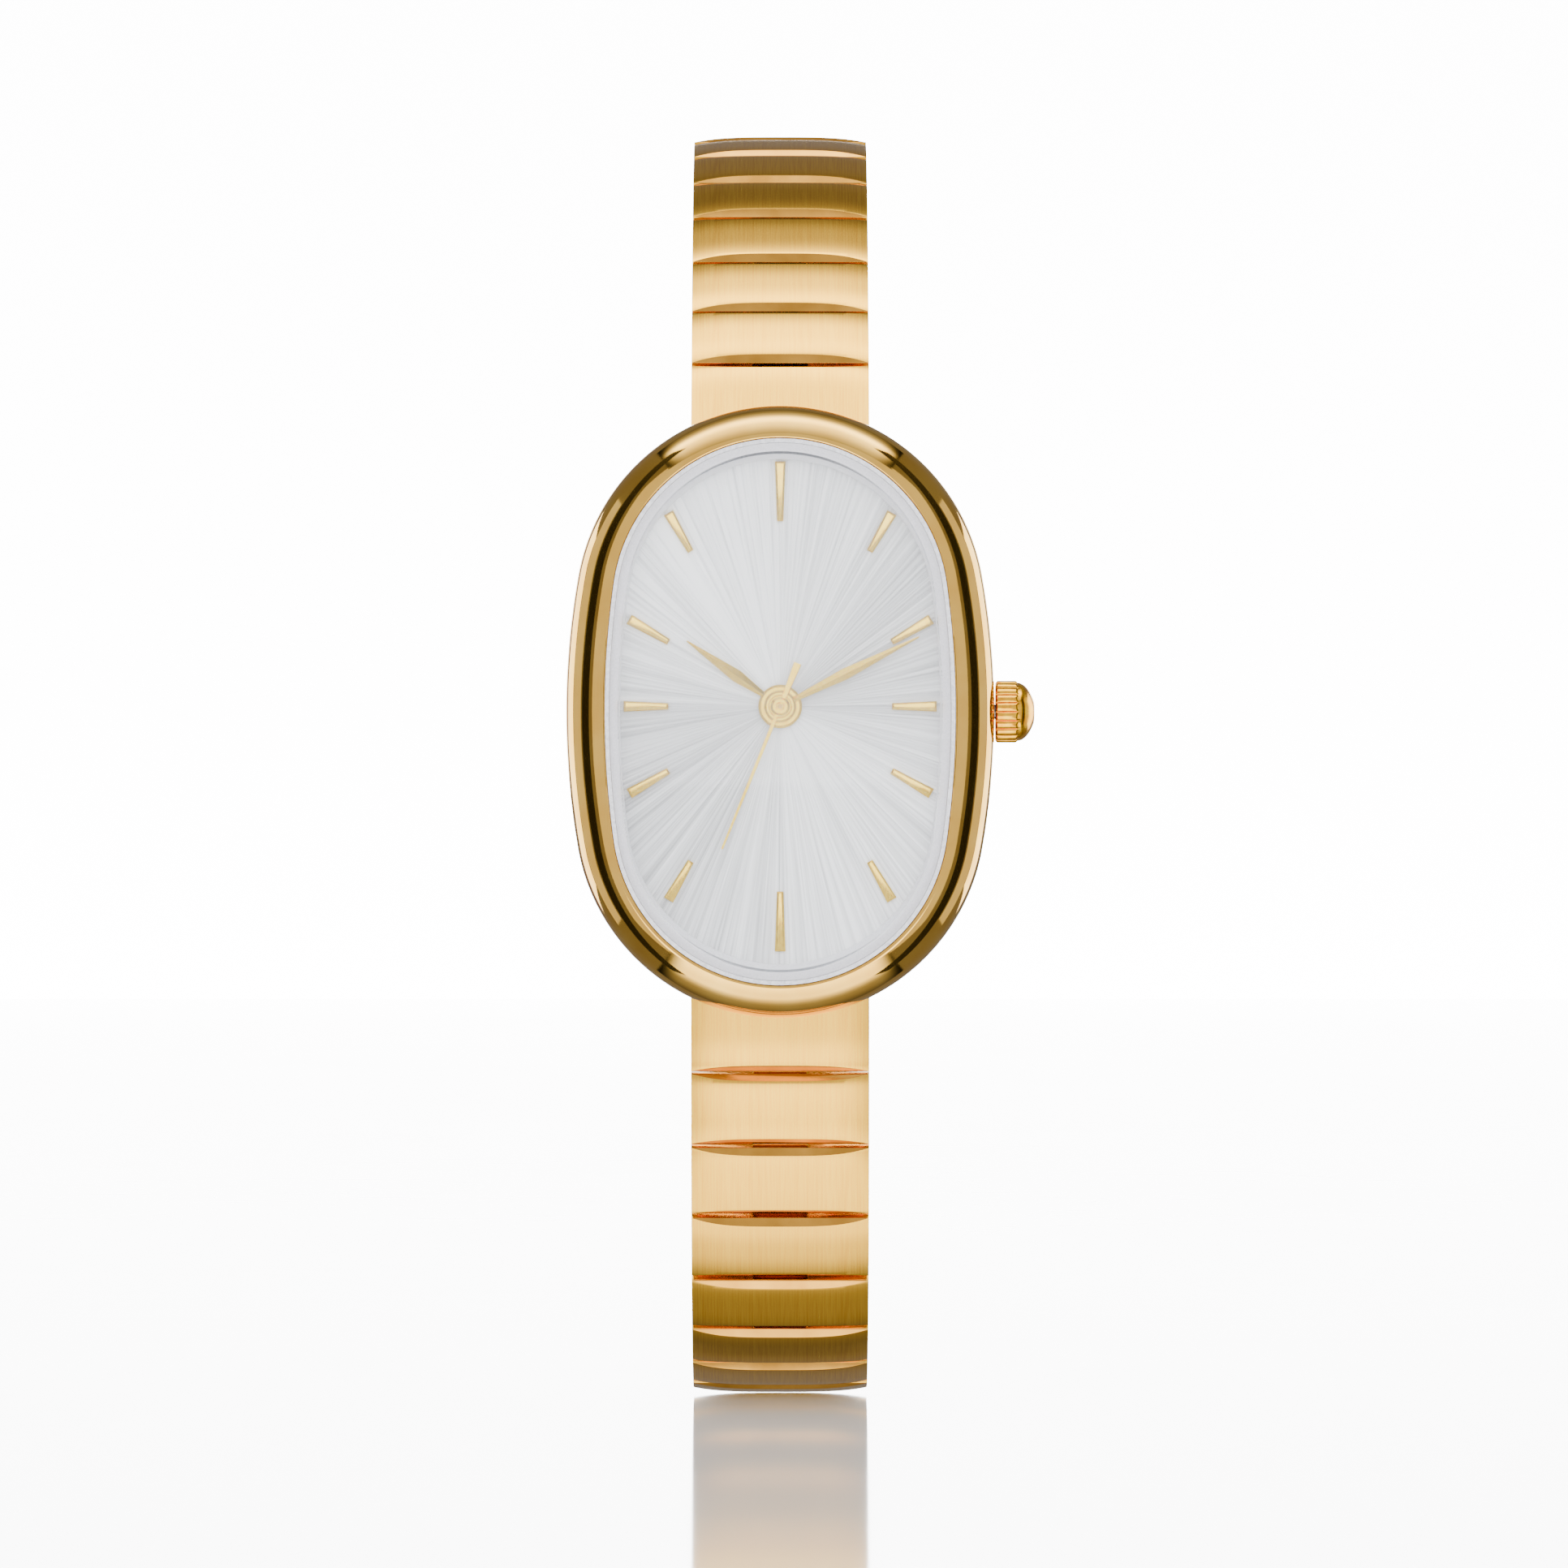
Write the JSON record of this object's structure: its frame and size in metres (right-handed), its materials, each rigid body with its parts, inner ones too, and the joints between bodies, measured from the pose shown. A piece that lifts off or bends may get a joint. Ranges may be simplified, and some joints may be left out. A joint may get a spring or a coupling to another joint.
{
  "type": "bracelet wristwatch",
  "caption": "Lady's oval quartz wristwatch: domed case with flat crystal, stick markers, lance hands, fluted crown and a full-width jointed link strap closed by a flap clasp.",
  "frame": {"origin": "centre of the case back's flat outer face", "axes": "+Z towards 12 o'clock, +Y out of the case back towards the wrist, +X towards the crown"},
  "size_m": [0.0263, 0.0481, 0.0731],
  "materials": {
    "case_gold": "polished gold-coloured plating",
    "strap_gold": "gold-coloured steel, brushed along the strap",
    "clasp_gold": "gold-coloured steel, brushed",
    "crown_gold": "polished gold-coloured plating",
    "trim_gold": "polished gold-coloured plating",
    "back_steel": "brushed steel",
    "watch_glass": "clear polished mineral glass",
    "dial_silver": "silver sunray",
    "ring_white": "satin pale ring",
    "gasket_rubber": "matt black rubber",
    "clear_gasket": "pale plastic packing",
    "holder_plastic": "pale plastic",
    "plate_brass": "satin plated brass",
    "bridge_steel": "brushed steel",
    "cell_steel": "bright steel can",
    "board_green": "solder mask green",
    "core_iron": "soft iron",
    "coil_copper": "fine copper winding",
    "wheel_brass": "satin brass",
    "arbor_steel": "turned steel"
  },
  "bodies": {
    "case": {"case_body": "case_gold", "case_back": "back_steel", "case_back_gasket": "gasket_rubber", "crystal": "watch_glass", "crystal_gasket": "clear_gasket", "dial_ring": "ring_white", "dial": "dial_silver", "hour_markers": "trim_gold", "main_plate": "plate_brass", "train_bridge": "bridge_steel", "movement_holder": "holder_plastic", "battery": "cell_steel", "circuit_board": "board_green", "stator": "core_iron", "coil": "coil_copper"},
    "setting_lever": {"setting_lever": "arbor_steel"},
    "crown": {"crown": "crown_gold", "stem": "arbor_steel"},
    "seconds": {"second_wheel": "wheel_brass", "second_hand": "trim_gold"},
    "intermediate": {"intermediate_wheel": "wheel_brass"},
    "rotor": {"rotor": "core_iron"},
    "third": {"third_wheel": "wheel_brass"},
    "centre": {"centre_wheel": "wheel_brass"},
    "minutes": {"cannon_pinion": "arbor_steel", "minute_hand": "trim_gold"},
    "minute_work": {"minute_wheel": "wheel_brass"},
    "hours": {"hour_wheel": "wheel_brass", "hour_hand": "trim_gold"},
    "upper_end_link": {"upper_end_link": "strap_gold"},
    "lower_end_link": {"lower_end_link": "strap_gold"},
    "upper_link_01": {"upper_link_01": "strap_gold"},
    "upper_link_02": {"upper_link_02": "strap_gold"},
    "upper_link_03": {"upper_link_03": "strap_gold"},
    "upper_link_04": {"upper_link_04": "strap_gold"},
    "upper_link_05": {"upper_link_05": "strap_gold"},
    "upper_link_06": {"upper_link_06": "strap_gold"},
    "upper_link_07": {"upper_link_07": "strap_gold"},
    "upper_link_08": {"upper_link_08": "strap_gold"},
    "upper_link_09": {"upper_link_09": "strap_gold"},
    "upper_link_10": {"upper_link_10": "strap_gold"},
    "upper_link_11": {"upper_link_11": "strap_gold"},
    "upper_link_12": {"upper_link_12": "strap_gold"},
    "upper_link_13": {"upper_link_13": "strap_gold"},
    "upper_link_14": {"upper_link_14": "strap_gold"},
    "lower_link_01": {"lower_link_01": "strap_gold"},
    "lower_link_02": {"lower_link_02": "strap_gold"},
    "lower_link_03": {"lower_link_03": "strap_gold"},
    "lower_link_04": {"lower_link_04": "strap_gold"},
    "lower_link_05": {"lower_link_05": "strap_gold"},
    "lower_link_06": {"lower_link_06": "strap_gold"},
    "lower_link_07": {"lower_link_07": "strap_gold"},
    "lower_link_08": {"lower_link_08": "strap_gold"},
    "lower_link_09": {"lower_link_09": "strap_gold"},
    "lower_link_10": {"lower_link_10": "strap_gold"},
    "lower_link_11": {"lower_link_11": "strap_gold"},
    "lower_link_12": {"lower_link_12": "strap_gold"},
    "catch_link": {"catch_link": "strap_gold"},
    "clasp_body": {"clasp_body": "clasp_gold"},
    "clasp_flap": {"clasp_flap": "clasp_gold"}
  },
  "joints": [
    {"name": "crown_pull", "type": "slide", "parent": "case", "child": "setting_lever", "axis": [1, 0, 0], "range_m": [0, 0.001]},
    {"name": "crown_turn", "type": "hinge", "parent": "setting_lever", "child": "crown", "pos_m": [0.0125, -0.0026, 0], "axis": [1, 0, 0], "continuous": true},
    {"name": "seconds_turn", "type": "hinge", "parent": "case", "child": "seconds", "pos_m": [0, -0.003, 0.0003], "axis": [0, 1, 0], "continuous": true},
    {"name": "intermediate_turn", "type": "hinge", "parent": "case", "child": "intermediate", "pos_m": [0.00066, -0.003, 0.00276], "axis": [0, 1, 0], "continuous": true},
    {"name": "rotor_turn", "type": "hinge", "parent": "case", "child": "rotor", "pos_m": [-0.00006, -0.003, 0.00474], "axis": [0, 1, 0], "continuous": true},
    {"name": "third_turn", "type": "hinge", "parent": "case", "child": "third", "pos_m": [-0.00221, -0.003, 0.00158], "axis": [0, 1, 0], "continuous": true},
    {"name": "centre_turn", "type": "hinge", "parent": "case", "child": "centre", "pos_m": [0, -0.003, 0.0003], "axis": [0, 1, 0], "continuous": true},
    {"name": "minutes_turn", "type": "hinge", "parent": "case", "child": "minutes", "pos_m": [0, -0.0036, 0.0003], "axis": [0, 1, 0], "continuous": true},
    {"name": "minute_work_turn", "type": "hinge", "parent": "case", "child": "minute_work", "pos_m": [0.0012, -0.0036, -0.00178], "axis": [0, 1, 0], "continuous": true},
    {"name": "hours_turn", "type": "hinge", "parent": "case", "child": "hours", "pos_m": [0, -0.0036, 0.0003], "axis": [0, 1, 0], "continuous": true},
    {"name": "upper_strap_swing", "type": "hinge", "parent": "case", "child": "upper_end_link", "pos_m": [0, -0.0019, 0.0146], "axis": [1, 0, 0], "range_deg": [0, 36]},
    {"name": "upper_link_01_pin", "type": "hinge", "parent": "upper_end_link", "child": "upper_link_01", "pos_m": [0, 0.00164, 0.01948], "axis": [1, 0, 0], "range_deg": [0, 7.5]},
    {"name": "upper_link_02_pin", "type": "hinge", "parent": "upper_link_01", "child": "upper_link_02", "pos_m": [0, 0.00447, 0.02245], "axis": [1, 0, 0], "range_deg": [0, 2.5]},
    {"name": "upper_link_03_pin", "type": "hinge", "parent": "upper_link_02", "child": "upper_link_03", "pos_m": [0, 0.00742, 0.0253], "axis": [1, 0, 0], "range_deg": [0, 5]},
    {"name": "upper_link_04_pin", "type": "hinge", "parent": "upper_link_03", "child": "upper_link_04", "pos_m": [0, 0.0106, 0.02788], "axis": [1, 0, 0], "range_deg": [0, 9.5]},
    {"name": "upper_link_05_pin", "type": "hinge", "parent": "upper_link_04", "child": "upper_link_05", "pos_m": [0, 0.01417, 0.0299], "axis": [1, 0, 0], "range_deg": [0, 6.5]},
    {"name": "upper_link_06_pin", "type": "hinge", "parent": "upper_link_05", "child": "upper_link_06", "pos_m": [0, 0.01794, 0.0315], "axis": [1, 0, 0], "range_deg": [0, 10]},
    {"name": "upper_link_07_pin", "type": "hinge", "parent": "upper_link_06", "child": "upper_link_07", "pos_m": [0, 0.02194, 0.03242], "axis": [1, 0, 0], "range_deg": [0, 15]},
    {"name": "upper_link_08_pin", "type": "hinge", "parent": "upper_link_07", "child": "upper_link_08", "pos_m": [0, 0.02604, 0.03228], "axis": [1, 0, 0], "range_deg": [0, 16]},
    {"name": "upper_link_09_pin", "type": "hinge", "parent": "upper_link_08", "child": "upper_link_09", "pos_m": [0, 0.02994, 0.03101], "axis": [1, 0, 0], "range_deg": [0, 16]},
    {"name": "upper_link_10_pin", "type": "hinge", "parent": "upper_link_09", "child": "upper_link_10", "pos_m": [0, 0.03334, 0.02872], "axis": [1, 0, 0], "range_deg": [0, 16]},
    {"name": "upper_link_11_pin", "type": "hinge", "parent": "upper_link_10", "child": "upper_link_11", "pos_m": [0, 0.03597, 0.02558], "axis": [1, 0, 0], "range_deg": [0, 14]},
    {"name": "upper_link_12_pin", "type": "hinge", "parent": "upper_link_11", "child": "upper_link_12", "pos_m": [0, 0.03777, 0.0219], "axis": [1, 0, 0], "range_deg": [0, 11]},
    {"name": "upper_link_13_pin", "type": "hinge", "parent": "upper_link_12", "child": "upper_link_13", "pos_m": [0, 0.03883, 0.01794], "axis": [1, 0, 0], "range_deg": [0, 7]},
    {"name": "upper_link_14_pin", "type": "hinge", "parent": "upper_link_13", "child": "upper_link_14", "pos_m": [0, 0.0394, 0.01388], "axis": [1, 0, 0], "range_deg": [0, 4]},
    {"name": "clasp_pin", "type": "hinge", "parent": "upper_link_14", "child": "clasp_body", "pos_m": [0, 0.03969, 0.00979], "axis": [1, 0, 0], "range_deg": [0, 6]},
    {"name": "flap_hinge", "type": "hinge", "parent": "clasp_body", "child": "clasp_flap", "pos_m": [0, 0.04021, 0.00691], "axis": [1, 0, 0], "range_deg": [0, 70]},
    {"name": "lower_strap_swing", "type": "hinge", "parent": "case", "child": "lower_end_link", "pos_m": [0, -0.0019, -0.0146], "axis": [-1, 0, 0], "range_deg": [0, 5]},
    {"name": "lower_link_01_pin", "type": "hinge", "parent": "lower_end_link", "child": "lower_link_01", "pos_m": [0, -0.00137, -0.02061], "axis": [-1, 0, 0], "range_deg": [0, 5.5]},
    {"name": "lower_link_02_pin", "type": "hinge", "parent": "lower_link_01", "child": "lower_link_02", "pos_m": [0, -0.00063, -0.02464], "axis": [-1, 0, 0], "range_deg": [0, 10.5]},
    {"name": "lower_link_03_pin", "type": "hinge", "parent": "lower_link_02", "child": "lower_link_03", "pos_m": [0, 0.00084, -0.02847], "axis": [-1, 0, 0], "range_deg": [0, 12.5]},
    {"name": "lower_link_04_pin", "type": "hinge", "parent": "lower_link_03", "child": "lower_link_04", "pos_m": [0, 0.00311, -0.03188], "axis": [-1, 0, 0], "range_deg": [0, 14]},
    {"name": "lower_link_05_pin", "type": "hinge", "parent": "lower_link_04", "child": "lower_link_05", "pos_m": [0, 0.00613, -0.03465], "axis": [-1, 0, 0], "range_deg": [0, 13.5]},
    {"name": "lower_link_06_pin", "type": "hinge", "parent": "lower_link_05", "child": "lower_link_06", "pos_m": [0, 0.00971, -0.03664], "axis": [-1, 0, 0], "range_deg": [0, 11]},
    {"name": "lower_link_07_pin", "type": "hinge", "parent": "lower_link_06", "child": "lower_link_07", "pos_m": [0, 0.01361, -0.03791], "axis": [-1, 0, 0], "range_deg": [0, 12]},
    {"name": "lower_link_08_pin", "type": "hinge", "parent": "lower_link_07", "child": "lower_link_08", "pos_m": [0, 0.01769, -0.03834], "axis": [-1, 0, 0], "range_deg": [0, 13]},
    {"name": "lower_link_09_pin", "type": "hinge", "parent": "lower_link_08", "child": "lower_link_09", "pos_m": [0, 0.02176, -0.03784], "axis": [-1, 0, 0], "range_deg": [0, 13]},
    {"name": "lower_link_10_pin", "type": "hinge", "parent": "lower_link_09", "child": "lower_link_10", "pos_m": [0, 0.02561, -0.03644], "axis": [-1, 0, 0], "range_deg": [0, 14]},
    {"name": "lower_link_11_pin", "type": "hinge", "parent": "lower_link_10", "child": "lower_link_11", "pos_m": [0, 0.02901, -0.03414], "axis": [-1, 0, 0], "range_deg": [0, 14]},
    {"name": "lower_link_12_pin", "type": "hinge", "parent": "lower_link_11", "child": "lower_link_12", "pos_m": [0, 0.03176, -0.0311], "axis": [-1, 0, 0], "range_deg": [0, 12]},
    {"name": "catch_link_pin", "type": "hinge", "parent": "lower_link_12", "child": "catch_link", "pos_m": [0, 0.03381, -0.02755], "axis": [-1, 0, 0], "range_deg": [0, 8]}
  ],
  "couplings": [
    {"joint": "intermediate_turn", "follows": "seconds_turn", "ratio": -5},
    {"joint": "rotor_turn", "follows": "seconds_turn", "ratio": 30},
    {"joint": "third_turn", "follows": "seconds_turn", "ratio": -0.13333},
    {"joint": "centre_turn", "follows": "seconds_turn", "ratio": 0.016667},
    {"joint": "minute_work_turn", "follows": "minutes_turn", "ratio": -0.33333},
    {"joint": "hours_turn", "follows": "minutes_turn", "ratio": 0.083333}
  ]
}
